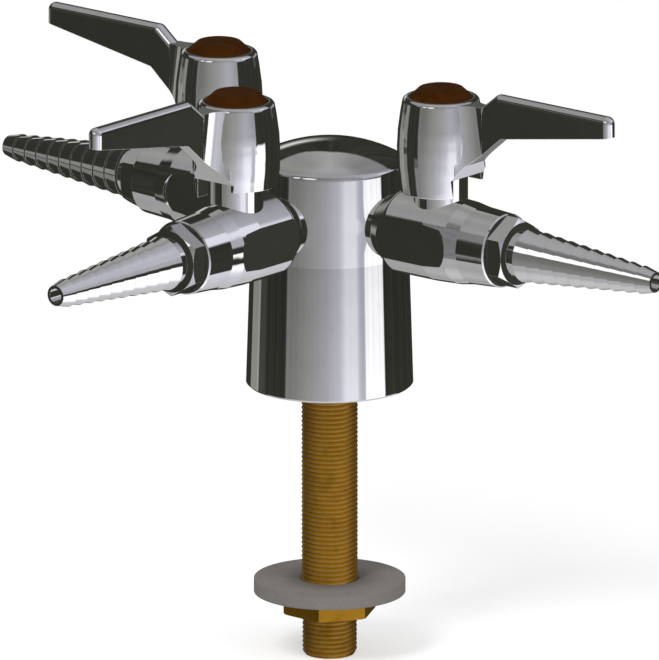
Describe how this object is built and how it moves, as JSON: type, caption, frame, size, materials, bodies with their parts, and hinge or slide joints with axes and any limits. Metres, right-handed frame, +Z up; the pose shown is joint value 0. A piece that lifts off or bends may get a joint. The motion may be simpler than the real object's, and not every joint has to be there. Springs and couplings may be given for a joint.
{
  "type": "laboratory gas valve",
  "caption": "Chromed bench turret with lever ball valves on its sides, each with a serrated hose nozzle, on a threaded brass shank with clamp washer and locknut.",
  "frame": {"origin": "centre of the turret's foot, on the bench top", "axes": "+Z up along the turret and shank; the valves point along +X, -Y and -X, and the +Y side is plain"},
  "size_m": [0.2556, 0.1532, 0.1862],
  "materials": {
    "chrome": "polished chrome plate",
    "lever_chrome": "polished chrome plate on a casting",
    "brass": "as turned",
    "washer": "pressed fibre",
    "rubber": "moulded",
    "seat": "turned fluoropolymer",
    "steel": "bright",
    "button": "moulded satin"
  },
  "bodies": {
    "turret": {"turret_body": "chrome", "shank": "brass", "right_valve_body": "chrome", "right_inlet_seal": "rubber", "right_inner_seat": "seat", "right_outer_seat": "seat", "right_thrust_washer": "seat", "right_nozzle": "chrome", "right_nozzle_seal": "rubber", "front_valve_body": "chrome", "front_inlet_seal": "rubber", "front_inner_seat": "seat", "front_outer_seat": "seat", "front_thrust_washer": "seat", "front_nozzle": "chrome", "front_nozzle_seal": "rubber", "left_valve_body": "chrome", "left_inlet_seal": "rubber", "left_inner_seat": "seat", "left_outer_seat": "seat", "left_thrust_washer": "seat", "left_nozzle": "chrome", "left_nozzle_seal": "rubber"},
    "right_handle": {"right_lever": "lever_chrome", "right_index_button": "button", "right_lever_screw": "steel", "right_stem": "brass", "right_stem_seals": "rubber", "right_ball": "chrome"},
    "front_handle": {"front_lever": "lever_chrome", "front_index_button": "button", "front_lever_screw": "steel", "front_stem": "brass", "front_stem_seals": "rubber", "front_ball": "chrome"},
    "left_handle": {"left_lever": "lever_chrome", "left_index_button": "button", "left_lever_screw": "steel", "left_stem": "brass", "left_stem_seals": "rubber", "left_ball": "chrome"},
    "clamp": {"clamp_washer": "washer"},
    "nut": {"locknut": "brass"}
  },
  "joints": [
    {"name": "right_lever_turn", "type": "hinge", "parent": "turret", "child": "right_handle", "pos_m": [0.04382, 0, 0.0529], "axis": [0, 0, 1], "range_deg": [0, 90]},
    {"name": "front_lever_turn", "type": "hinge", "parent": "turret", "child": "front_handle", "pos_m": [0, -0.04382, 0.0529], "axis": [0, 0, 1], "range_deg": [0, 90]},
    {"name": "left_lever_turn", "type": "hinge", "parent": "turret", "child": "left_handle", "pos_m": [-0.04382, 0, 0.0529], "axis": [0, 0, 1], "range_deg": [0, 90]},
    {"name": "clamp_travel", "type": "slide", "parent": "turret", "child": "clamp", "axis": [0, 0, 1], "range_m": [-0.01016, 0.05814]},
    {"name": "nut_turn", "type": "hinge", "parent": "clamp", "child": "nut", "pos_m": [0, 0, -0.068], "axis": [0, 0, 1], "range_deg": [-2520, 14760]}
  ],
  "couplings": [
    {"joint": "clamp_travel", "follows": "nut_turn", "m_per_rad": 0.00022459}
  ]
}
